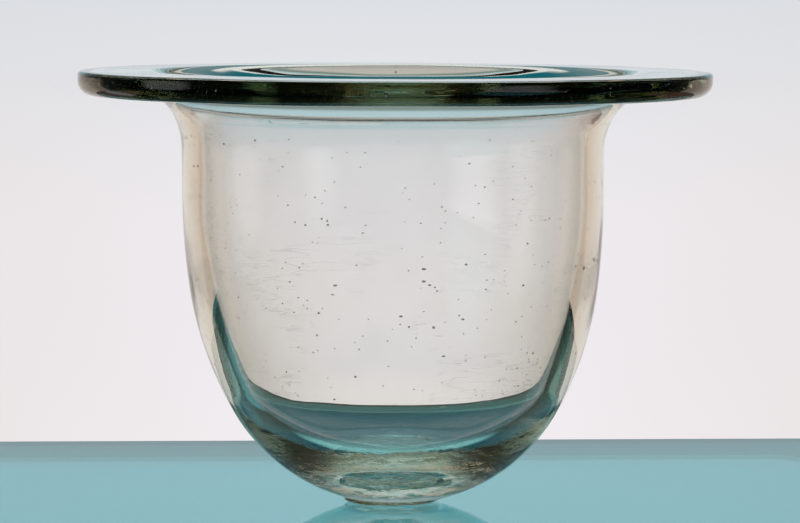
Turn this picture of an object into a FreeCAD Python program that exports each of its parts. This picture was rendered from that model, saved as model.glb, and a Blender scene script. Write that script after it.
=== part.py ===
"""Crystallizing dish: a hand-blown glass vessel with a wide flat flange.

Three pieces of glass on one upright axis: the flange with its flared neck, the
round-bottomed bowl below it, and the small pontil pad that the bowl stands on.
Millimetres, +Z up. The origin is on the axis of the dish, in the plane it rests on.
"""
import FreeCAD, Part
import os
from math import atan2, hypot, sqrt, tau

import Sketcher

V = FreeCAD.Vector

# alias: (value in millimetres, what it is)
DIMENSIONS = {
    "dish_height": (82.0, "from the resting plane to the top of the flange"),
    "rim_diameter": (120.0, "outside of the flange"),
    "flange_thickness": (4.5, "flat lip, top to underside"),
    "rim_top_round": (0.7, "worn top edge of the flange"),
    "rim_bottom_round": (2.8, "fire-polished lower edge of the flange"),
    "mouth_diameter": (72.8, "inside of the straight upper wall"),
    "mouth_round": (5.0, "from the top of the flange into the flare inside"),
    "body_diameter": (80.0, "outside of the straight upper wall"),
    "seam_depth": (8.0, "where flange and bowl meet, below the top of the flange"),
    "flare_depth": (14.9, "where the straight wall starts to flare"),
    "flare_low_round": (13.0, "flare outside, lower arc"),
    "flare_high_round": (7.2, "flare outside, arc that runs out under the flange"),
    "outer_wall_depth": (21.85, "end of the straight wall outside"),
    "outer_side_round": (146.0, "outer profile, side arc"),
    "outer_haunch_round": (67.3, "outer profile, haunch arc"),
    "outer_base_round": (35.6, "outer profile, base arc, centred on the axis"),
    "foot_diameter": (19.6, "flattened underside of the bowl"),
    "inner_wall_depth": (22.3, "end of the straight wall inside"),
    "inner_side_round": (91.0, "inner profile, side arc"),
    "inner_haunch_round": (23.3, "inner profile, arc from the side into the floor"),
    "inner_base_round": (134.0, "inner profile, the nearly flat floor"),
    "floor_height": (9.0, "lowest point inside, above the resting plane"),
    "pad_height": (1.0, "pontil pad, below the bowl"),
    "pad_diameter": (17.2, "pontil pad"),
    "pad_round": (0.6, "lower edge of the pontil pad"),
    "pad_offset": (-0.7, "centre of the pontil pad from the axis, along X"),
}

START, END, CENTRE = 1, 2, 3  # how a sketch names the points of its geometry
ROOT_POINT = (-1, 1)


def make_sheet(doc):
    """The spreadsheet of driving dimensions: alias, value, meaning."""
    sheet = doc.addObject("Spreadsheet::Sheet", "Sizes")
    for row, (alias, (value, meaning)) in enumerate(DIMENSIONS.items(), start=1):
        sheet.set(f"A{row}", alias)
        sheet.set(f"B{row}", str(value))
        sheet.set(f"C{row}", meaning)
        sheet.setAlias(f"B{row}", alias)
    doc.recompute()
    return sheet


class Profile:
    """A closed outline of lines and arcs in a sketch, radius across and height up."""

    def __init__(self, body, name, first_point):
        plane = next(f for f in body.Origin.OriginFeatures if f.Role == "XZ_Plane")
        self.sketch = body.newObject("Sketcher::SketchObject", name)
        self.sketch.AttachmentSupport = [(plane, "")]
        self.sketch.MapMode = "FlatFace"
        self.point = first_point
        self.ends = []

    def _join(self, index, near_end, far_end, smooth):
        """Tie the new piece of outline to the one before it."""
        if self.ends:
            kind = "Tangent" if smooth else "Coincident"
            before, _, tip = self.ends[-1]
            self.sketch.addConstraint(Sketcher.Constraint(kind, before, tip, index, near_end))
        self.ends.append((index, near_end, far_end))
        return index

    def line(self, point, kind=None, smooth=False):
        """A straight piece to point. kind is Horizontal, Vertical or None."""
        start, self.point = self.point, point
        index = self.sketch.addGeometry(Part.LineSegment(V(*start), V(*point)), False)
        if kind:
            self.sketch.addConstraint(Sketcher.Constraint(kind, index))
        return self._join(index, START, END, smooth)

    def arc(self, centre, point, clockwise, smooth=True):
        """A round piece to point, about centre. Sketch arcs always run anticlockwise."""
        start, self.point = self.point, point
        first, last = (point, start) if clockwise else (start, point)
        angles = [atan2(z - centre[1], r - centre[0]) for r, z in (first, last)]
        if angles[1] < angles[0]:
            angles[1] += tau
        radius = hypot(point[0] - centre[0], point[1] - centre[1])
        circle = Part.Circle(V(*centre), V(0, 0, 1), radius)
        index = self.sketch.addGeometry(Part.ArcOfCircle(circle, *angles), False)
        near_end, far_end = (END, START) if clockwise else (START, END)
        return self._join(index, near_end, far_end, smooth)

    def close(self):
        """Tie the last piece to the first."""
        (first, near_end, _), (last, _, far_end) = self.ends[0], self.ends[-1]
        self.sketch.addConstraint(
            Sketcher.Constraint("Coincident", last, far_end, first, near_end)
        )

    def on_axis(self, index, point):
        """Hold a point of the outline on the axis of the dish."""
        self.sketch.addConstraint(Sketcher.Constraint("PointOnObject", index, point, -2))

    def size(self, name, kind, where, value, expression):
        """A named dimension that follows the sheet."""
        place = self.sketch.addConstraint(Sketcher.Constraint(kind, *where, value))
        self.sketch.renameConstraint(place, name)
        self.sketch.setExpression("Constraints." + name, expression)

    def radius_at(self, name, index, point, value, expression):
        self.size(name, "DistanceX", (*ROOT_POINT, index, point), value, expression)

    def height_at(self, name, index, point, value, expression):
        self.size(name, "DistanceY", (*ROOT_POINT, index, point), value, expression)

    def round_of(self, index, alias, value):
        self.size(alias, "Radius", (index,), value, "Sizes." + alias)


def revolve(body, profile, name):
    """Turn a finished outline once round the axis of the dish."""
    turned = body.newObject("PartDesign::Revolution", name)
    turned.Profile = profile.sketch
    turned.ReferenceAxis = (profile.sketch, ["V_Axis"])
    turned.Angle = 360.0
    body.Tip = turned


def make_body(doc, label):
    body = doc.addObject("PartDesign::Body", label)
    body.Label = label
    return body


def circles_meet(first, first_reach, second, second_reach, pick=max):
    """The upper (or, with min, lower) of the points at given distances from two centres."""
    across, up = second[0] - first[0], second[1] - first[1]
    gap = hypot(across, up)
    along = (first_reach**2 - second_reach**2 + gap**2) / (2 * gap)
    aside = sqrt(first_reach**2 - along**2)
    middle = (first[0] + across * along / gap, first[1] + up * along / gap)
    points = [
        (middle[0] + side * aside * up / gap, middle[1] - side * aside * across / gap)
        for side in (1, -1)
    ]
    return pick(points, key=lambda point: point[1])


def beyond(far_centre, near_centre, radius):
    """Where two arcs that touch inside each other meet: radius from the far centre."""
    across, up = near_centre[0] - far_centre[0], near_centre[1] - far_centre[1]
    scale = radius / hypot(across, up)
    return far_centre[0] + across * scale, far_centre[1] + up * scale


def neck(d):
    """Common centre of the two flare arcs, inner arc's radius, seam's inner and outer end."""
    centre = (d.body_diameter / 2 + d.flare_low_round, d.dish_height - d.flare_depth)
    inner_radius = d.flare_low_round + (d.body_diameter - d.mouth_diameter) / 2
    seam = d.dish_height - d.seam_depth
    inner, outer = (
        (centre[0] - sqrt(radius**2 - (seam - centre[1]) ** 2), seam)
        for radius in (inner_radius, d.flare_low_round)
    )
    return centre, inner_radius, inner, outer


def hold_flare(profile, outer_arc, inner_arc, d):
    """The wall keeps its thickness through the flare, which the seam cuts in two."""
    centre = neck(d)[0]
    profile.round_of(outer_arc, "flare_low_round", d.flare_low_round)
    profile.radius_at(
        "flare_centre", outer_arc, CENTRE, centre[0],
        "Sizes.body_diameter / 2 + Sizes.flare_low_round",
    )
    profile.height_at(
        "flare_start", outer_arc, CENTRE, centre[1], "Sizes.dish_height - Sizes.flare_depth"
    )
    profile.sketch.addConstraint(
        Sketcher.Constraint("Coincident", outer_arc, CENTRE, inner_arc, CENTRE)
    )


def make_rim_flange(doc, d):
    """Flat lip, rounded mouth and the upper part of the flare, down to the seam."""
    top, rim = d.dish_height, d.rim_diameter / 2
    under = top - d.flange_thickness
    flare_centre, inner_radius, inner_seam, outer_seam = neck(d)
    high_centre, mouth_centre = (
        (flare_centre[0] - sqrt(spare**2 - (height - flare_centre[1]) ** 2), height)
        for spare, height in (
            (d.flare_low_round - d.flare_high_round, under - d.flare_high_round),
            (inner_radius - d.mouth_round, top - d.mouth_round),
        )
    )

    body = make_body(doc, "rim_flange")
    outline = Profile(body, "flange_outline", inner_seam)
    seam = outline.line(outer_seam, "Horizontal")
    low = outline.arc(
        flare_centre, beyond(flare_centre, high_centre, d.flare_low_round), True, smooth=False
    )
    high = outline.arc(high_centre, (high_centre[0], under), True)
    underside = outline.line((rim - d.rim_bottom_round, under), "Horizontal", smooth=True)
    lower_edge = outline.arc(
        (rim - d.rim_bottom_round, under + d.rim_bottom_round),
        (rim, under + d.rim_bottom_round), False,
    )
    outside = outline.line((rim, top - d.rim_top_round), "Vertical", smooth=True)
    upper_edge = outline.arc(
        (rim - d.rim_top_round, top - d.rim_top_round), (rim - d.rim_top_round, top), False
    )
    top_face = outline.line((mouth_centre[0], top), "Horizontal", smooth=True)
    mouth = outline.arc(
        mouth_centre, beyond(flare_centre, mouth_centre, inner_radius), False
    )
    inside = outline.arc(flare_centre, inner_seam, False)
    outline.close()

    hold_flare(outline, low, inside, d)
    outline.size(
        "inner_flare_round", "Radius", (inside,), inner_radius,
        "Sizes.flare_low_round + (Sizes.body_diameter - Sizes.mouth_diameter) / 2",
    )
    outline.round_of(high, "flare_high_round", d.flare_high_round)
    outline.round_of(lower_edge, "rim_bottom_round", d.rim_bottom_round)
    outline.round_of(upper_edge, "rim_top_round", d.rim_top_round)
    outline.round_of(mouth, "mouth_round", d.mouth_round)
    outline.radius_at("rim", outside, START, rim, "Sizes.rim_diameter / 2")
    outline.height_at("top", top_face, START, top, "Sizes.dish_height")
    outline.height_at(
        "underside", underside, START, under, "Sizes.dish_height - Sizes.flange_thickness"
    )
    outline.height_at(
        "seam", seam, START, inner_seam[1], "Sizes.dish_height - Sizes.seam_depth"
    )
    revolve(body, outline, "flange_turned")
    return body


def make_bowl(doc, d):
    """Thick-bottomed bowl from the seam down to the small flat over the pontil pad."""
    mouth, wall = d.mouth_diameter / 2, d.body_diameter / 2
    foot = d.foot_diameter / 2
    flare_centre, _, inner_seam, outer_seam = neck(d)

    inner_top = d.dish_height - d.inner_wall_depth
    inner_side = (mouth - d.inner_side_round, inner_top)
    inner_base = (0.0, d.floor_height + d.inner_base_round)
    inner_haunch = circles_meet(
        inner_side, d.inner_side_round - d.inner_haunch_round,
        inner_base, d.inner_base_round - d.inner_haunch_round, min,
    )

    outer_top = d.dish_height - d.outer_wall_depth
    outer_side = (wall - d.outer_side_round, outer_top)
    outer_base = (0.0, d.pad_height + sqrt(d.outer_base_round**2 - foot**2))
    outer_haunch = circles_meet(
        outer_side, d.outer_side_round - d.outer_haunch_round,
        outer_base, d.outer_haunch_round - d.outer_base_round,
    )

    body = make_body(doc, "bowl")
    outline = Profile(body, "bowl_outline", inner_seam)
    flare_in = outline.arc(flare_centre, (mouth, flare_centre[1]), False)
    inner_wall = outline.line((mouth, inner_top), "Vertical", smooth=True)
    side_in = outline.arc(
        inner_side, beyond(inner_side, inner_haunch, d.inner_side_round), True
    )
    haunch_in = outline.arc(
        inner_haunch, beyond(inner_base, inner_haunch, d.inner_base_round), True
    )
    base_in = outline.arc(inner_base, (0.0, d.floor_height), True)
    axis = outline.line((0.0, d.pad_height), "Vertical")
    flat = outline.line((foot, d.pad_height), "Horizontal")
    base_out = outline.arc(
        outer_base, beyond(outer_haunch, outer_base, d.outer_haunch_round), False,
        smooth=False,
    )
    haunch_out = outline.arc(
        outer_haunch, beyond(outer_side, outer_haunch, d.outer_side_round), False
    )
    side_out = outline.arc(outer_side, (wall, outer_top), False)
    outline.line((wall, flare_centre[1]), "Vertical", smooth=True)
    flare_out = outline.arc(flare_centre, outer_seam, True)
    seam = outline.line(inner_seam, "Horizontal")
    outline.close()

    outline.on_axis(axis, START)
    outline.on_axis(base_in, CENTRE)
    outline.on_axis(base_out, CENTRE)
    hold_flare(outline, flare_out, flare_in, d)
    outline.round_of(side_in, "inner_side_round", d.inner_side_round)
    outline.round_of(haunch_in, "inner_haunch_round", d.inner_haunch_round)
    outline.round_of(base_in, "inner_base_round", d.inner_base_round)
    outline.round_of(side_out, "outer_side_round", d.outer_side_round)
    outline.round_of(haunch_out, "outer_haunch_round", d.outer_haunch_round)
    outline.round_of(base_out, "outer_base_round", d.outer_base_round)
    outline.radius_at("mouth", inner_wall, START, mouth, "Sizes.mouth_diameter / 2")
    outline.radius_at("foot", flat, END, foot, "Sizes.foot_diameter / 2")
    outline.height_at("foot_face", flat, START, d.pad_height, "Sizes.pad_height")
    outline.height_at("floor", axis, START, d.floor_height, "Sizes.floor_height")
    outline.height_at(
        "inner_top", inner_wall, END, inner_top, "Sizes.dish_height - Sizes.inner_wall_depth"
    )
    outline.height_at(
        "outer_top", side_out, END, outer_top, "Sizes.dish_height - Sizes.outer_wall_depth"
    )
    outline.height_at(
        "seam", seam, END, inner_seam[1], "Sizes.dish_height - Sizes.seam_depth"
    )
    revolve(body, outline, "bowl_turned")
    return body


def make_pontil_pad(doc, d):
    """Low round wad of glass under the bowl, a little off the axis."""
    radius = d.pad_diameter / 2
    body = make_body(doc, "pontil_pad")
    outline = Profile(body, "pad_outline", (0.0, 0.0))
    underside = outline.line((radius - d.pad_round, 0.0), "Horizontal")
    edge = outline.arc((radius - d.pad_round, d.pad_round), (radius, d.pad_round), False)
    side = outline.line((radius, d.pad_height), "Vertical", smooth=True)
    outline.line((0.0, d.pad_height), "Horizontal")
    outline.line((0.0, 0.0), "Vertical")
    outline.close()

    outline.sketch.addConstraint(
        Sketcher.Constraint("Coincident", underside, START, *ROOT_POINT)
    )
    outline.round_of(edge, "pad_round", d.pad_round)
    outline.radius_at("side", side, END, radius, "Sizes.pad_diameter / 2")
    outline.height_at("top", side, END, d.pad_height, "Sizes.pad_height")
    revolve(body, outline, "pad_turned")
    body.setExpression(".Placement.Base.x", "Sizes.pad_offset")
    return body


def check(doc, bodies):
    """Stop if a feature failed, a sketch is loose, or a shape is not one sound solid."""
    for item in doc.Objects:
        if {"Invalid", "Error"} & set(item.State):
            raise RuntimeError(f"{item.Name} failed: {item.State}")
        if item.TypeId == "Sketcher::SketchObject" and not item.FullyConstrained:
            raise RuntimeError(f"{item.Name} is not fully constrained")
    for body in bodies:
        shape = body.Shape
        if shape.isNull() or not shape.isValid() or len(shape.Solids) != 1:
            raise RuntimeError(f"{body.Label} is not one valid solid")
        box = shape.optimalBoundingBox()
        print(
            f"{body.Label}: {shape.Volume:.0f} mm3,"
            f" X {box.XMin:.2f}..{box.XMax:.2f}, Z {box.ZMin:.2f}..{box.ZMax:.2f}"
        )


def main():
    doc = FreeCAD.newDocument("crystallizing_dish")
    sheet = make_sheet(doc)
    bodies = [make(doc, sheet) for make in (make_rim_flange, make_bowl, make_pontil_pad)]
    doc.recompute()
    check(doc, bodies)
    os.makedirs("parts", exist_ok=True)
    for body in bodies:
        body.Shape.exportStep(f"parts/{body.Label}.step")


main()
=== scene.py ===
"""Looks of the crystallizing dish: hand-blown, slightly seedy clear glass on a glass pane.

The three pieces are the CAD's three: the bowl, the flange with its flared neck, and the
pontil pad. Each is one closed skin turned about the dish's axis, made a little uneven the
way blown glass is, with seeds (trapped bubbles) as small hollows inside it.
"""

from math import asin, atan2, ceil, cos, hypot, pi, radians, sin, sqrt, tau

import bpy
import numpy as np
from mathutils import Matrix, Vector, noise


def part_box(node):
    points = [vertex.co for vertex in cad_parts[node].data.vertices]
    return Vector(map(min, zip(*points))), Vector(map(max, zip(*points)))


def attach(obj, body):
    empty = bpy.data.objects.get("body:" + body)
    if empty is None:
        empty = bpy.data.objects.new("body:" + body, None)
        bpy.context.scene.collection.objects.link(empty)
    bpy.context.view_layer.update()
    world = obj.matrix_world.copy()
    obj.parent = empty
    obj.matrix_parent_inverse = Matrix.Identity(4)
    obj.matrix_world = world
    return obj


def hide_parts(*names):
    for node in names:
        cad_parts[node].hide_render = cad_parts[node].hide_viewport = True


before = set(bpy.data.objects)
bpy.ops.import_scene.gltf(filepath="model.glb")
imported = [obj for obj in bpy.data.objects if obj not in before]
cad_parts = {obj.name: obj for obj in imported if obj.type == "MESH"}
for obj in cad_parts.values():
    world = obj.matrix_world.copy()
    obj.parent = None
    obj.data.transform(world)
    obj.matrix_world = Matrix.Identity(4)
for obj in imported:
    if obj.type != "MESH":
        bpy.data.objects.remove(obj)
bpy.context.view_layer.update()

MM = 0.001
RIM_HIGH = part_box("rim_flange")[1]
BOWL_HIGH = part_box("bowl")[1]
PAD_LOW, PAD_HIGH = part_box("pontil_pad")

# Heights and radii that the frame gives
TOP = RIM_HIGH.z
RIM = RIM_HIGH.x
SEAM = BOWL_HIGH.z
PAD_TOP = PAD_HIGH.z
PAD_RADIUS = (PAD_HIGH.x - PAD_LOW.x) / 2
PAD_X = (PAD_HIGH.x + PAD_LOW.x) / 2

# Outline of the glass, as in the CAD pieces
FLANGE = 4.5 * MM
RIM_TOP_ROUND = 0.7 * MM
RIM_BOTTOM_ROUND = 2.8 * MM
MOUTH = 36.4 * MM
MOUTH_ROUND = 5.0 * MM
BODY = 40.0 * MM
FLARE_START = TOP - 14.9 * MM
FLARE_LOW = 13.0 * MM
FLARE_HIGH = 7.2 * MM
INNER_FLARE = FLARE_LOW + BODY - MOUTH  # the wall keeps its thickness through the neck
OUTER_TOP = TOP - 21.85 * MM
OUTER_SIDE = 146.0 * MM
OUTER_HAUNCH = 67.3 * MM
OUTER_BASE = 35.6 * MM
FOOT = 9.8 * MM
INNER_TOP = TOP - 22.3 * MM
INNER_SIDE = 91.0 * MM
INNER_HAUNCH = 23.3 * MM
INNER_BASE = 134.0 * MM
FLOOR_HEIGHT = 9.0 * MM
PAD_ROUND = 0.6 * MM

# Meshes
STEP = 0.9 * MM  # spacing of the rings along an outline
FINE = 0.3 * MM  # the same, where the outline turns sharply
CAP_STEP = 2.0 * MM  # across the hidden faces between the pieces
SECTORS = 288  # facets round the axis
GAP = 0.01 * MM  # between the hidden faces, so that they don't lie in each other
ON_AXIS = 0.0001 * MM  # a ring smaller than this is a single point
CREASE = radians(50)  # edges that turn more than this are shaded sharp

# Unevenness of the hand-made glass
SWELL, SWELL_SIZE = 0.09 * MM, 24.0 * MM
RIPPLE, RIPPLE_SIZE = 0.012 * MM, 6.5 * MM
LEAN = -0.5 * MM  # the neck's shift towards -X
TILT = 0.0045  # the flange's drop towards +X, as a slope
LOBE_SIZE, LOBE_SHARE = 4.0 * MM, 0.16  # of the pad's edge; the share of its radius
PIT_SIZE, PIT_DEPTH = 1.6 * MM, 0.30 * MM  # under the pad
LIP_DEPTH = 0.35 * MM  # how much the pad's lower edge rises and falls

# Seeds, in millimetres and radians
SEED_COUNT = 320
SEED_HEIGHTS = (17, 71)
SEED_LEAST, SEED_MOST = 0.09, 0.26
CLUSTER_COUNT = 80  # a shower of small ones low on the side between +X and -Y
CLUSTER_HEIGHT, CLUSTER_SPREAD, CLUSTER_LOWEST = 24, 3.5, 16
CLUSTER_ANGLE, CLUSTER_WIDTH = -0.75, 0.16
CLUSTER_SIZES = (0.07, 0.15)
BLISTERS = ((46.8, -0.18, 0.42, 1.7), (46.0, -0.42, 0.34, 1.2))  # height, angle, size, stretch
FLANGE_SEED_COUNT = 10
FLANGE_SEED_REACH = (0.84, 0.97)  # shares of the flange's radius
FLANGE_SEED_DEPTHS = (1.2, 2.6)
FLANGE_SEED_SIZES = (0.09, 0.2)
rng = np.random.default_rng(82)
noise.seed_set(82)  # noise_vector takes its offsets from this; unset, from the clock


# ---- outlines: lists of (radius, height) -----------------------------------

def arc(centre, radius, start, stop, step=STEP):
    """Points from angle start to stop about centre, both ends included."""
    count = max(4, ceil(abs(stop - start) * radius / step))
    return [
        (centre[0] + radius * cos(a), centre[1] + radius * sin(a))
        for a in np.linspace(start, stop, count + 1)
    ]


def straight(start, stop, step=STEP):
    """Points between start and stop, both ends included."""
    count = max(1, ceil(hypot(stop[0] - start[0], stop[1] - start[1]) / step))
    return [
        (start[0] + (stop[0] - start[0]) * t, start[1] + (stop[1] - start[1]) * t)
        for t in np.linspace(0.0, 1.0, count + 1)
    ]


def chain(*stretches):
    """Joins stretches of outline, dropping the point that two neighbours share."""
    points = []
    for stretch in stretches:
        points += stretch if not points else stretch[1:]
    return points


def direction(start, stop):
    return atan2(stop[1] - start[1], stop[0] - start[0])


def circles_meet(first, first_reach, second, second_reach, pick=max):
    """The upper (or, with min, lower) of the points at given distances from two centres."""
    across, up = second[0] - first[0], second[1] - first[1]
    gap = hypot(across, up)
    along = (first_reach**2 - second_reach**2 + gap**2) / (2 * gap)
    aside = sqrt(first_reach**2 - along**2)
    middle = (first[0] + across * along / gap, first[1] + up * along / gap)
    points = [
        (middle[0] + side * aside * up / gap, middle[1] - side * aside * across / gap)
        for side in (1, -1)
    ]
    return pick(points, key=lambda point: point[1])


FLARE_CENTRE = (BODY + FLARE_LOW, FLARE_START)


def flare_angle(radius, height):
    """Where an arc about the flare's centre reaches a height, on the side of the axis."""
    return pi - asin((height - FLARE_START) / radius)


def outer_bowl():
    """Outside of the bowl, from the edge of its foot up to the seam."""
    side = (BODY - OUTER_SIDE, OUTER_TOP)
    base = (0.0, PAD_TOP + sqrt(OUTER_BASE**2 - FOOT**2))
    haunch = circles_meet(side, OUTER_SIDE - OUTER_HAUNCH, base, OUTER_HAUNCH - OUTER_BASE)
    foot_angle = atan2(PAD_TOP - base[1], FOOT)
    base_turn, haunch_turn = direction(haunch, base), direction(side, haunch)
    return chain(
        arc(base, OUTER_BASE, foot_angle, base_turn),
        arc(haunch, OUTER_HAUNCH, base_turn, haunch_turn),
        arc(side, OUTER_SIDE, haunch_turn, 0.0),
        straight((BODY, OUTER_TOP), (BODY, FLARE_START)),
        arc(FLARE_CENTRE, FLARE_LOW, pi, flare_angle(FLARE_LOW, SEAM - GAP / 2)),
    )


def inner_bowl():
    """Inside of the bowl, from the seam down to the middle of its floor."""
    side = (MOUTH - INNER_SIDE, INNER_TOP)
    base = (0.0, FLOOR_HEIGHT + INNER_BASE)
    haunch = circles_meet(side, INNER_SIDE - INNER_HAUNCH, base, INNER_BASE - INNER_HAUNCH, min)
    side_turn, base_turn = direction(side, haunch), direction(base, haunch)
    return chain(
        arc(FLARE_CENTRE, INNER_FLARE, flare_angle(INNER_FLARE, SEAM - GAP / 2), pi),
        straight((MOUTH, FLARE_START), (MOUTH, INNER_TOP)),
        arc(side, INNER_SIDE, 0.0, side_turn),
        arc(haunch, INNER_HAUNCH, side_turn, base_turn),
        arc(base, INNER_BASE, base_turn, -pi / 2),
    )


def flange_outline():
    """Right round the flange, from the inner end of the seam, outwards first."""
    seam = SEAM + GAP / 2
    under = TOP - FLANGE
    high, lip = (
        (FLARE_CENTRE[0] - sqrt(spare**2 - (height - FLARE_START) ** 2), height)
        for spare, height in (
            (FLARE_LOW - FLARE_HIGH, under - FLARE_HIGH),
            (INNER_FLARE - MOUTH_ROUND, TOP - MOUTH_ROUND),
        )
    )
    lower = (RIM - RIM_BOTTOM_ROUND, under + RIM_BOTTOM_ROUND)
    upper = (RIM - RIM_TOP_ROUND, TOP - RIM_TOP_ROUND)
    high_turn, lip_turn = direction(FLARE_CENTRE, high), direction(FLARE_CENTRE, lip)
    outside = arc(FLARE_CENTRE, FLARE_LOW, flare_angle(FLARE_LOW, seam), high_turn, FINE)
    inside = arc(
        FLARE_CENTRE, INNER_FLARE, lip_turn, flare_angle(INNER_FLARE, seam), FINE
    )
    return chain(
        straight(inside[-1], outside[0], CAP_STEP),
        outside,
        arc(high, FLARE_HIGH, high_turn, pi / 2, FINE),
        straight((high[0], under), (lower[0], under)),
        arc(lower, RIM_BOTTOM_ROUND, -pi / 2, 0.0, FINE),
        straight((RIM, lower[1]), (RIM, upper[1]), FINE),
        arc(upper, RIM_TOP_ROUND, 0.0, pi / 2, FINE / 2),
        straight((upper[0], TOP), (lip[0], TOP)),
        arc(lip, MOUTH_ROUND, pi / 2, lip_turn, FINE),
        inside,
    )


def pad_outline():
    """Round the pontil pad, from the middle of its underside to the middle of its top."""
    top = PAD_TOP - GAP
    return chain(
        straight((0.0, 0.0), (PAD_RADIUS - PAD_ROUND, 0.0), STEP / 2),
        arc((PAD_RADIUS - PAD_ROUND, PAD_ROUND), PAD_ROUND, -pi / 2, 0.0, FINE / 3),
        straight((PAD_RADIUS, PAD_ROUND), (PAD_RADIUS, top), FINE / 2),
        straight((PAD_RADIUS, top), (0.0, top), CAP_STEP),
    )


# ---- unevenness ----------------------------------------------------------------

def smooth(value, low, high):
    """0 up to low, 1 from high on, and a soft S between them."""
    t = np.clip((value - low) / (high - low), 0.0, 1.0)
    return t * t * (3 - 2 * t)


def hand_made(points):
    """Lean, tilt and a gentle swell and ripple, the same field for all three pieces.

    The foot stays where it is, and the lean is greatest just under the flared neck.
    """
    field = np.array([
        SWELL * noise.noise_vector(p / SWELL_SIZE) + RIPPLE * noise.noise_vector(p / RIPPLE_SIZE)
        for p in map(Vector, points)
    ])
    moved = points + field * smooth(points[:, 2], 0.0, 4 * MM)[:, None]
    height = points[:, 2]
    neck = smooth(height, 8 * MM, 62 * MM) * (1 - smooth(height, 66 * MM, TOP))
    moved[:, 0] += LEAN * neck
    moved[:, 2] -= TILT * points[:, 0] * smooth(height, 60 * MM, TOP)
    return moved


def pontil_rough(points):
    """The pad's lobed edge and pitted underside; its top stays as it is."""
    free = 1 - smooth(points[:, 2], 0.5 * PAD_TOP, 0.97 * PAD_TOP)
    centre = np.array((PAD_X, 0.0, 0.0))
    out = points - centre
    reach = np.hypot(out[:, 0], out[:, 1])
    edge = smooth(reach, 0.55 * PAD_RADIUS, PAD_RADIUS)
    lobes = np.array([noise.noise(Vector((x, y, 3.0)) / LOBE_SIZE) for x, y, _ in points])
    pits = np.array([noise.noise(Vector((x, y, 9.0)) / PIT_SIZE) for x, y, _ in points])
    moved = points.copy()
    moved[:, :2] += out[:, :2] * (LOBE_SHARE * lobes * edge * free)[:, None]
    low = 1 - smooth(points[:, 2], 0.0, 0.9 * PAD_TOP)
    rise = PIT_DEPTH * (1 - edge) * (0.6 + pits) + LIP_DEPTH * edge * (0.4 + lobes)
    moved[:, 2] += low * rise
    return moved


# ---- turned glass ------------------------------------------------------------

def turned(outline, closed, centre=lambda r, z: 0.0):
    """Points, faces and each face's two outline points. closed: a loop off the axis."""
    rings = outline[:-1] if closed else outline
    angles = np.arange(SECTORS) * tau / SECTORS
    points, rows = [], []
    for r, z in rings:
        x = centre(r, z)
        first = len(points)
        if r < ON_AXIS:
            points.append((x, 0.0, z))
        else:
            points += [(x + r * cos(a), r * sin(a), z) for a in angles]
        rows.append(range(first, len(points)))
    faces, spans = [], []
    for i in range(len(rings) if closed else len(rings) - 1):
        j = (i + 1) % len(rings)
        low, high = rows[i], rows[j]
        for k in range(SECTORS):
            n = (k + 1) % SECTORS
            if len(low) == 1:
                face = (low[0], high[n], high[k])
            elif len(high) == 1:
                face = (low[k], low[n], high[0])
            else:
                face = (low[k], low[n], high[n], high[k])
            faces.append(face)
            spans.append((rings[i], rings[j]))
    return points, faces, spans


def seed(centre, radii, spin=0.0, sides=8, bands=5):
    """A small hollow in the glass: an ellipsoid whose faces look inwards."""
    points = [(0.0, 0.0, -1.0)]
    for band in range(1, bands):
        tip = -pi / 2 + pi * band / bands
        points += [
            (cos(tip) * cos(a), cos(tip) * sin(a), sin(tip))
            for a in np.arange(sides) * tau / sides
        ]
    points.append((0.0, 0.0, 1.0))
    faces, last = [], len(points) - 1
    for k in range(sides):
        n = (k + 1) % sides
        faces.append((0, 1 + k, 1 + n))
        faces.append((last, last - sides + n, last - sides + k))
        for band in range(bands - 2):
            a, b = 1 + band * sides, 1 + (band + 1) * sides
            faces.append((a + k, b + k, b + n, a + n))
    local = np.array(points) * radii
    turn = np.array(((cos(spin), -sin(spin), 0), (sin(spin), cos(spin), 0), (0, 0, 1)))
    return local @ turn.T + centre, faces


def make_piece(name, points, faces, capped, seeds=()):
    """One closed glass mesh. capped: which faces lie hidden against the next piece."""
    points = list(map(tuple, points))
    caps = list(capped)
    for seed_points, seed_faces in seeds:
        first = len(points)
        points += list(map(tuple, seed_points))
        faces = faces + [tuple(first + i for i in face) for face in seed_faces]
        caps += [False] * len(seed_faces)
    mesh = bpy.data.meshes.new(name)
    mesh.from_pydata(points, [], faces)
    mesh.polygons.foreach_set("use_smooth", [True] * len(faces))
    mesh.attributes.new("cap", "FLOAT", "FACE").data.foreach_set(
        "value", [float(cap) for cap in caps]
    )
    mesh.set_sharp_from_angle(angle=CREASE)
    mesh.update()
    piece = bpy.data.objects.new(name, mesh)
    bpy.context.scene.collection.objects.link(piece)
    return piece


# ---- seeds ---------------------------------------------------------------------

def wall_at(height):
    """Inner and outer radius of the bowl's wall at a height."""
    inner, outer = np.array(inner_bowl()[::-1]), np.array(outer_bowl())
    return (
        np.interp(height, inner[:, 1], inner[:, 0]),
        np.interp(height, outer[:, 1], outer[:, 0]),
    )


def wall_seed(height, angle, size, stretch=1.0):
    """A seed somewhere in the depth of the wall."""
    inner, outer = wall_at(height)
    depth = inner + (outer - inner) * rng.uniform(0.25, 0.75)
    centre = (depth * cos(angle), depth * sin(angle), height)
    return seed(centre, np.array((size, size * stretch, size)), angle)


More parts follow.
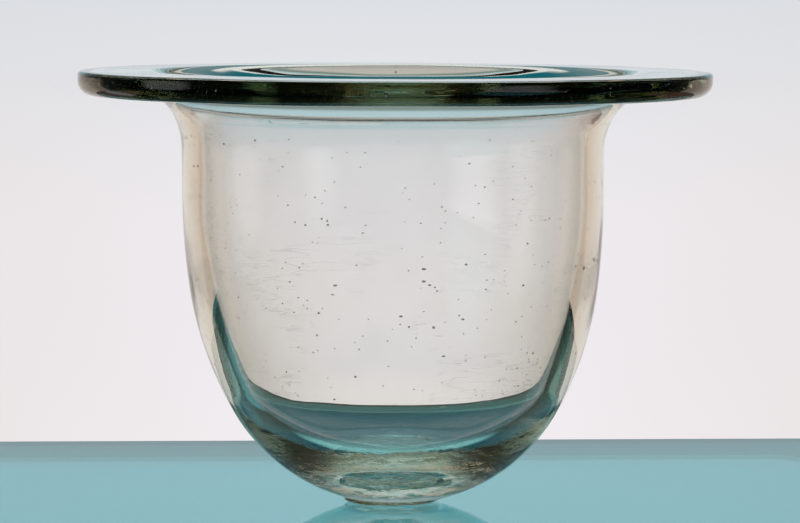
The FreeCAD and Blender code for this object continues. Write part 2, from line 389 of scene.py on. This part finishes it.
def bowl_seeds():
    seeds = []
    for _ in range(SEED_COUNT):
        size = rng.gamma(1.4, 0.028) * MM + SEED_LEAST * MM
        height = rng.uniform(*SEED_HEIGHTS) * MM
        angle, stretch = rng.uniform(0, tau), rng.uniform(0.8, 1.9)
        seeds.append(wall_seed(height, angle, min(size, SEED_MOST * MM), stretch))
    for _ in range(CLUSTER_COUNT):
        height = max(rng.normal(CLUSTER_HEIGHT, CLUSTER_SPREAD), CLUSTER_LOWEST) * MM
        angle = rng.normal(CLUSTER_ANGLE, CLUSTER_WIDTH)
        seeds.append(wall_seed(height, angle, rng.uniform(*CLUSTER_SIZES) * MM))
    for height, angle, size, stretch in BLISTERS:
        seeds.append(wall_seed(height * MM, angle, size * MM, stretch))
    return seeds


def flange_seeds():
    seeds = []
    for _ in range(FLANGE_SEED_COUNT):
        angle, reach = rng.uniform(0, tau), rng.uniform(*FLANGE_SEED_REACH) * RIM
        height = TOP - rng.uniform(*FLANGE_SEED_DEPTHS) * MM
        centre = (reach * cos(angle), reach * sin(angle), height)
        size = rng.uniform(*FLANGE_SEED_SIZES) * MM
        seeds.append(seed(centre, np.array((size, size * 1.5, size)), angle))
    return seeds


# ---- pieces --------------------------------------------------------------------

def hidden_at(height):
    """Tests whether a face lies flat at a height, given its two outline points."""
    return lambda span: all(abs(z - height) < 2 * GAP for _, z in span)


def make_bowl():
    underside = chain(
        straight((0.0, PAD_TOP), (PAD_RADIUS, PAD_TOP), CAP_STEP),
        straight((PAD_RADIUS, PAD_TOP), (FOOT, PAD_TOP)),
    )
    outside, inside = outer_bowl(), inner_bowl()
    outline = chain(underside, outside, straight(outside[-1], inside[0], CAP_STEP), inside)

    def over_pad(r, z):
        return PAD_X if z <= PAD_TOP + GAP and r <= PAD_RADIUS + GAP else 0.0

    points, faces, spans = turned(outline, False, over_pad)
    at_seam, at_pad = hidden_at(SEAM), hidden_at(PAD_TOP)
    capped = [
        at_seam(span) or (at_pad(span) and max(r for r, _ in span) <= PAD_RADIUS + GAP)
        for span in spans
    ]
    return make_piece("bowl_glass", hand_made(np.array(points)), faces, capped, bowl_seeds())


def make_flange():
    points, faces, spans = turned(flange_outline(), True)
    capped = map(hidden_at(SEAM), spans)
    return make_piece(
        "rim_flange_glass", hand_made(np.array(points)), faces, capped, flange_seeds()
    )


def make_pad():
    points, faces, spans = turned(pad_outline(), False, lambda r, z: PAD_X)
    capped = map(hidden_at(PAD_TOP), spans)
    rough = pontil_rough(hand_made(np.array(points)))
    return make_piece("pontil_pad_glass", rough, faces, capped)


# ---- materials -------------------------------------------------------------------

class Nodes:
    """Short ways to build a node tree."""

    def __init__(self, tree):
        self.tree = tree

    def add(self, kind, **settings):
        node = self.tree.nodes.new("ShaderNode" + kind)
        for name, value in settings.items():
            setattr(node, name, value)
        return node

    def put(self, socket, value):
        """A number, a colour, a vector or another node's output into a socket."""
        if isinstance(value, bpy.types.NodeSocket):
            self.tree.links.new(value, socket)
        elif socket.type == "RGBA":
            socket.default_value = (*value, 1.0)
        else:
            socket.default_value = value

    def math(self, operation, a, b=0.0):
        node = self.add("Math", operation=operation)
        self.put(node.inputs[0], a)
        self.put(node.inputs[1], b)
        return node.outputs[0]

    def ramp(self, value, low, high):
        """A soft step from 0 at low to 1 at high; low may be the larger."""
        node = self.add("MapRange", clamp=True, interpolation_type="SMOOTHSTEP")
        ends = (low, high, 0.0, 1.0) if low < high else (high, low, 1.0, 0.0)
        self.put(node.inputs["Value"], value)
        for name, end in zip(("From Min", "From Max", "To Min", "To Max"), ends):
            node.inputs[name].default_value = end
        return node.outputs["Result"]

    def scaled(self, value, low, high):
        """A value from 0 to 1, spread evenly from low to high."""
        node = self.add("MapRange")
        self.put(node.inputs["Value"], value)
        node.inputs["To Min"].default_value = low
        node.inputs["To Max"].default_value = high
        return node.outputs["Result"]

    def mix(self, share, a, b):
        node = self.add("Mix", data_type="RGBA")
        self.put(node.inputs["Factor"], share)
        self.put(node.inputs[6], a)
        self.put(node.inputs[7], b)
        return node.outputs[2]

    def noise(self, where, size, detail=2.0):
        """Cloudy noise from 0 to 1 whose lumps are about size metres across."""
        node = self.add("TexNoise")
        self.put(node.inputs["Vector"], where)
        node.inputs["Scale"].default_value = 1 / size
        node.inputs["Detail"].default_value = detail
        return node.outputs["Fac"]

    def stretched(self, where, scale):
        node = self.add("VectorMath", operation="MULTIPLY")
        self.put(node.inputs[0], where)
        node.inputs[1].default_value = scale
        return node.outputs[0]

    def bump(self, height, depth, normal=None):
        """Relief of the given depth in metres, laid over an earlier one."""
        node = self.add("Bump")
        self.put(node.inputs["Height"], height)
        node.inputs["Distance"].default_value = depth
        node.inputs["Strength"].default_value = 1.0
        if normal:
            self.put(node.inputs["Normal"], normal)
        return node.outputs["Normal"]


GLASS_IOR = 1.5
ABSORPTION_TINT = (0.57, 0.63, 0.43)  # the share of each colour that absorption leaves alone
ABSORPTION_DENSITY = 20.0
CLEAR = (1.0, 1.0, 1.0)
BLOOM_COLOUR = (0.975, 0.975, 0.965)  # in cloudy patches, a faint film
FROST_COLOUR = (0.93, 0.95, 0.94)
FADE = 4 * MM  # over which the marks of blowing die out below the flange


def glass_start(name):
    """A clear glass with the absorption, and no refraction at hidden faces."""
    material = bpy.data.materials.new(name)
    material.use_nodes = True
    n = Nodes(material.node_tree)
    shader = n.tree.nodes["Principled BSDF"]
    shader.inputs["Transmission Weight"].default_value = 1.0
    cap = n.add("Attribute", attribute_name="cap").outputs["Fac"]
    n.put(shader.inputs["IOR"], n.scaled(cap, GLASS_IOR, 1.0))
    volume = n.add("VolumeAbsorption")
    n.put(volume.inputs["Color"], ABSORPTION_TINT)
    volume.inputs["Density"].default_value = ABSORPTION_DENSITY
    n.put(n.tree.nodes["Material Output"].inputs["Volume"], volume.outputs[0])
    where = n.add("TexCoord").outputs["Object"]
    return material, n, shader, where, cap


def seedy_glass():
    """Blown glass: soft waves and cords under the hand, a few hairline scratches."""
    material, n, shader, where, cap = glass_start("seedy_glass")
    shader.inputs["Roughness"].default_value = 0.0
    xyz = n.add("SeparateXYZ")
    n.put(xyz.inputs[0], where)
    height = xyz.outputs["Z"]
    bloom = n.ramp(n.noise(where, size=9 * MM, detail=4.0), 0.45, 0.75)
    n.put(shader.inputs["Base Color"], n.mix(bloom, CLEAR, BLOOM_COLOUR))

    # the blown wall, below the seam, is wavier than the flange
    worked = n.ramp(height, SEAM, SEAM - FADE)
    waves = n.noise(where, size=11 * MM, detail=1.0)
    waves = n.math("MULTIPLY", waves, n.scaled(worked, 0.25, 1.0))
    relief = n.bump(waves, depth=0.03 * MM)

    # the base is lumpy underneath, where the pontil was stuck on
    lumps = n.noise(where, size=4.5 * MM, detail=3.0)
    lumps = n.math("MULTIPLY", lumps, n.ramp(height, 11 * MM, 3 * MM))
    relief = n.bump(lumps, depth=0.14 * MM, normal=relief)

    cords = n.noise(n.stretched(where, (1.0, 1.0, 0.22)), size=2.6 * MM, detail=1.0)
    cords = n.math("MULTIPLY", cords, worked)
    relief = n.bump(cords, depth=0.0035 * MM, normal=relief)

    # scratches are the thin lines where level streaks of noise cross their middle value
    streaks = n.noise(n.stretched(where, (1.0, 0.9, 9.0)), size=14 * MM, detail=3.0)
    line = n.ramp(n.math("ABSOLUTE", n.math("SUBTRACT", streaks, 0.5)), 0.0022, 0.0)
    patch = n.ramp(n.noise(where, size=13 * MM, detail=0.0), 0.60, 0.68)
    rubbed = n.math("MULTIPLY", worked, n.ramp(height, 20 * MM, 30 * MM))
    scratches = n.math("MULTIPLY", line, n.math("MULTIPLY", patch, rubbed))
    relief = n.bump(scratches, depth=0.01 * MM, normal=relief)
    n.put(shader.inputs["Normal"], relief)
    return material


def pontil_glass():
    """The same glass where the iron was cracked off: pitted, crumpled, half frosted."""
    material, n, shader, where, cap = glass_start("pontil_glass")
    frost = n.ramp(n.noise(where, size=1.4 * MM, detail=3.0), 0.42, 0.62)
    open_face = n.math("SUBTRACT", 1.0, cap)
    n.put(shader.inputs["Roughness"], n.math("MULTIPLY", n.scaled(frost, 0.02, 0.22), open_face))
    n.put(shader.inputs["Base Color"], n.mix(frost, CLEAR, FROST_COLOUR))
    crumple = n.bump(n.noise(where, size=2.2 * MM, detail=3.0), depth=0.35 * MM)
    pits = n.add("TexVoronoi", feature="F1")
    n.put(pits.inputs["Vector"], where)
    pits.inputs["Scale"].default_value = 1 / (0.9 * MM)
    pits = n.ramp(pits.outputs["Distance"], 0.0, 0.45)
    relief = n.bump(pits, depth=0.10 * MM, normal=crumple)
    n.put(shader.inputs["Normal"], relief)
    return material


# ---- studio --------------------------------------------------------------------

PANE_HALF_WIDTH = 0.32
PANE_FRONT = -0.60
PANE_CUT = 0.183  # the cut-off back corners lie on the lines |x| + y = PANE_CUT
PANE_BACK = 0.090  # on the line straight behind the dish
PANE_TURN = 0.029  # the back edge's slope across the picture
PANE_BAND = 0.026  # width of the band of painted shade along the back edges
PANE_TOP = -0.02 * MM  # just clear of the dish's foot
PANE_THICK = 8 * MM
PANE_TINT = (0.10, 0.72, 0.76)  # the share of each colour that its absorption leaves alone
PANE_DENSITY = 160.0
PANE_TONES = ((0.90, 0.99, 0.98), (0.84, 0.93, 0.92))  # it wanders softly between these
# painted shade: the darker tint of the band along the back edges
PANE_PAINTED_SHADE_COLOUR = (0.20, 0.32, 0.29)
PANE_BAND_BLUR = 0.6 * MM


def pane_glass():
    """Pale blue-green plate glass, with painted shade: a darker tint in a band along its back
    edges.
    """
    material = bpy.data.materials.new("pane")
    material.use_nodes = True
    n = Nodes(material.node_tree)
    shader = n.tree.nodes["Principled BSDF"]
    shader.inputs["Transmission Weight"].default_value = 1.0
    shader.inputs["Roughness"].default_value = 0.03
    where = n.add("TexCoord").outputs["Object"]
    xyz = n.add("SeparateXYZ")
    n.put(xyz.inputs[0], where)
    across, along = xyz.outputs["X"], xyz.outputs["Y"]
    past_back = n.math("SUBTRACT", along, n.math("MULTIPLY", across, PANE_TURN))
    past_back = n.math("SUBTRACT", past_back, PANE_BACK)
    past_cut = n.math("ADD", n.math("ABSOLUTE", across), along)
    past_cut = n.math("MULTIPLY", n.math("SUBTRACT", past_cut, PANE_CUT), sqrt(0.5))
    past_edge = n.math("MAXIMUM", past_back, past_cut)
    # painted shade: a band just inside the back edges is tinted darker
    band = n.ramp(past_edge, -PANE_BAND - PANE_BAND_BLUR, -PANE_BAND + PANE_BAND_BLUR)
    tone = n.mix(n.noise(where, size=25 * MM, detail=3.0), *PANE_TONES)
    n.put(shader.inputs["Base Color"], n.mix(band, tone, PANE_PAINTED_SHADE_COLOUR))
    waves = n.bump(n.noise(where, size=40 * MM, detail=1.0), depth=0.004 * MM)
    n.put(shader.inputs["Normal"], waves)
    volume = n.add("VolumeAbsorption")
    n.put(volume.inputs["Color"], PANE_TINT)
    volume.inputs["Density"].default_value = PANE_DENSITY
    n.put(n.tree.nodes["Material Output"].inputs["Volume"], volume.outputs[0])
    return material


def make_pane():
    """The glass table top that the dish stands on."""
    mesh = bpy.data.meshes.new("pane")
    half = PANE_HALF_WIDTH
    right = (PANE_CUT - PANE_BACK) / (1 + PANE_TURN)
    left = -(PANE_CUT - PANE_BACK) / (1 - PANE_TURN)
    corners = [(-half, PANE_FRONT), (half, PANE_FRONT)]
    corners += [(x, PANE_CUT - abs(x)) for x in (half, right, left, -half)]
    count = len(corners)
    points = [(x, y, z) for z in (PANE_TOP - PANE_THICK, PANE_TOP) for x, y in corners]
    nexts = [(i + 1) % count for i in range(count)]
    sides = [(i, j, j + count, i + count) for i, j in enumerate(nexts)]
    under, over = tuple(reversed(range(count))), tuple(range(count, 2 * count))
    mesh.from_pydata(points, [], [under, over, *sides])
    mesh.materials.append(pane_glass())
    pane = bpy.data.objects.new("pane", mesh)
    bpy.context.scene.collection.objects.link(pane)


def aim_at(azimuth, elevation):
    """Unit vector; azimuth 0 is +Y and grows towards +X."""
    a, e = radians(azimuth), radians(elevation)
    return (sin(a) * cos(e), cos(a) * cos(e), sin(e))


# The light is a world of directions, in degrees. "aside" is the angle to either side of
# straight behind the dish (+Y), and elevation 0 is level.
TABLE_EDGE = (-17.0, -18.2)  # elevations between which the sheet gives way to the floor below
EDGE_DROOP = 0.035  # how much lower that edge lies for each degree aside

# Walls that stand behind the dish as seen from its other sides: azimuth, elevation, reach, level
PALE_WALLS = ((-45, -26, 9, 0.60), (135, -15, 20, 0.92), (-90, -3, 14, 0.72))
WALL_WHITE = (0.97, 0.985, 1.0)


def room_light(n, aside, elevation):
    """The dim room, a little lighter beside the sheet and in a low strip at either side."""
    room = n.mix(n.ramp(elevation, -10, 60), (0.012, 0.013, 0.010), (0.020, 0.022, 0.018))
    room = n.mix(n.ramp(aside, 70, 48), room, (0.055, 0.052, 0.044))
    strip = n.math("MULTIPLY", n.ramp(elevation, 1, 5), n.ramp(elevation, 15, 10))
    strip = n.math("MULTIPLY", strip, n.ramp(aside, 108, 96))
    strip = n.math("MULTIPLY", strip, n.ramp(aside, 56, 68))
    return n.mix(strip, room, (0.20, 0.25, 0.24))


def sheet_light(n, aside, elevation):
    """The pale sheet behind the dish: warmer to the sides, cooler and darker higher up."""
    sheet = n.mix(n.ramp(elevation, -5.0, -11.5), (0.865, 0.84, 0.875), (0.94, 0.895, 0.90))
    sheet = n.mix(n.ramp(aside, 0, 11), sheet, (0.80, 0.75, 0.74))
    sheet = n.mix(n.ramp(elevation, -4.5, 0.5), sheet, (0.70, 0.73, 0.765))
    sheet = n.mix(n.ramp(aside, 9, 24), sheet, (0.74, 0.66, 0.59))
    sheet = n.mix(n.ramp(aside, 22, 48), sheet, (0.61, 0.48, 0.38))
    upper = n.mix(n.ramp(elevation, 9, 14), (0.48, 0.65, 0.70), (0.25, 0.31, 0.29))
    upper = n.mix(n.ramp(elevation, 18, 28), upper, (0.62, 0.58, 0.56))
    upper = n.mix(n.ramp(elevation, 34, 50), upper, (0.18, 0.21, 0.24))
    return n.mix(n.ramp(elevation, 1.0, 5.0), sheet, upper)


def sheet_share(n, aside, elevation, lower_edge):
    """1 on the sheet and 0 off it: wide near the table, and narrower and higher above."""
    wide = n.math("MULTIPLY", n.ramp(aside, 51, 47), n.ramp(elevation, 1.0, -2.5))
    tall = n.math("MULTIPLY", n.ramp(aside, 46, 16), n.ramp(elevation, 58, 40))
    above_table = n.ramp(lower_edge, *reversed(TABLE_EDGE))
    return n.math("MULTIPLY", n.math("MAXIMUM", wide, tall), above_table)


def below_table(n, aside, elevation, lower_edge, colour):
    """The floor seen past and through the table, dark far off and white near the dish."""
    floor = n.mix(n.ramp(aside, 12, 40), (0.0, 0.15, 0.20), (0.24, 0.115, 0.09))
    share = n.math("MULTIPLY", n.ramp(lower_edge, *TABLE_EDGE), n.ramp(aside, 72, 58))
    colour = n.mix(share, colour, floor)
    near = n.math("MULTIPLY", n.ramp(elevation, -41, -46), n.ramp(aside, 34, 20))
    return n.mix(near, colour, (0.95, 0.95, 0.95))


def pale_walls(n, where, colour):
    """Round pale patches of wall, full within half their reach and soft to its end."""
    for azimuth, elevation, reach, level in PALE_WALLS:
        dot = n.add("VectorMath", operation="DOT_PRODUCT")
        n.put(dot.inputs[0], where)
        dot.inputs[1].default_value = aim_at(azimuth, elevation)
        wall = n.ramp(dot.outputs["Value"], cos(radians(reach)), cos(radians(0.5 * reach)))
        colour = n.mix(wall, colour, [level * part for part in WALL_WHITE])
    return colour


def make_world():
    """A dim room with a bright paper sheet behind the dish and a pale wall to each view."""
    world = bpy.data.worlds.new("studio")
    bpy.context.scene.world = world
    world.use_nodes = True
    n = Nodes(world.node_tree)
    where = n.add("TexCoord").outputs["Generated"]
    xyz = n.add("SeparateXYZ")
    n.put(xyz.inputs[0], where)
    x, y, z = xyz.outputs
    aside = n.math("ABSOLUTE", n.math("MULTIPLY", n.math("ARCTAN2", x, y), 180 / pi))
    elevation = n.math("MULTIPLY", n.math("ARCSINE", z), 180 / pi)
    lower_edge = n.math("ADD", n.math("MULTIPLY", aside, EDGE_DROOP), elevation)

    share = sheet_share(n, aside, elevation, lower_edge)
    colour = n.mix(share, room_light(n, aside, elevation), sheet_light(n, aside, elevation))
    colour = below_table(n, aside, elevation, lower_edge, colour)
    colour = pale_walls(n, where, colour)
    n.put(world.node_tree.nodes["Background"].inputs["Color"], colour)


CAMERA_LENS = 167.7  # millimetres, on Blender's usual 36 mm sensor
CAMERA_PLACE = Vector((0.0, -0.706, 0.1034))
CAMERA_AIM = Vector((0.00085, 0.0, 0.04585))
MOST_BOUNCES = 48  # light passes many skins and seeds on its way through the dish
GLOSSY_BOUNCES = 16


def make_camera():
    camera_data = bpy.data.cameras.new("camera")
    camera = bpy.data.objects.new("camera", camera_data)
    bpy.context.scene.collection.objects.link(camera)
    camera_data.lens = CAMERA_LENS
    camera.location = CAMERA_PLACE
    camera.rotation_mode = "QUATERNION"
    camera.rotation_quaternion = (CAMERA_AIM - CAMERA_PLACE).to_track_quat("-Z", "Y")
    bpy.context.scene.camera = camera


def main():
    clear, pontil = seedy_glass(), pontil_glass()
    for make, node, material, slot in (
        (make_bowl, "bowl", clear, "clear_glass"),
        (make_flange, "rim_flange", clear, "clear_glass"),
        (make_pad, "pontil_pad", pontil, "pontil_glass"),
    ):
        piece = make()
        piece.data.materials.append(material)
        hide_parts(node)
        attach(piece, "root")
    make_pane()
    make_world()
    make_camera()
    scene = bpy.context.scene
    scene.view_settings.view_transform = "Standard"
    scene.cycles.max_bounces = MOST_BOUNCES
    scene.cycles.transmission_bounces = MOST_BOUNCES
    scene.cycles.glossy_bounces = GLOSSY_BOUNCES


main()
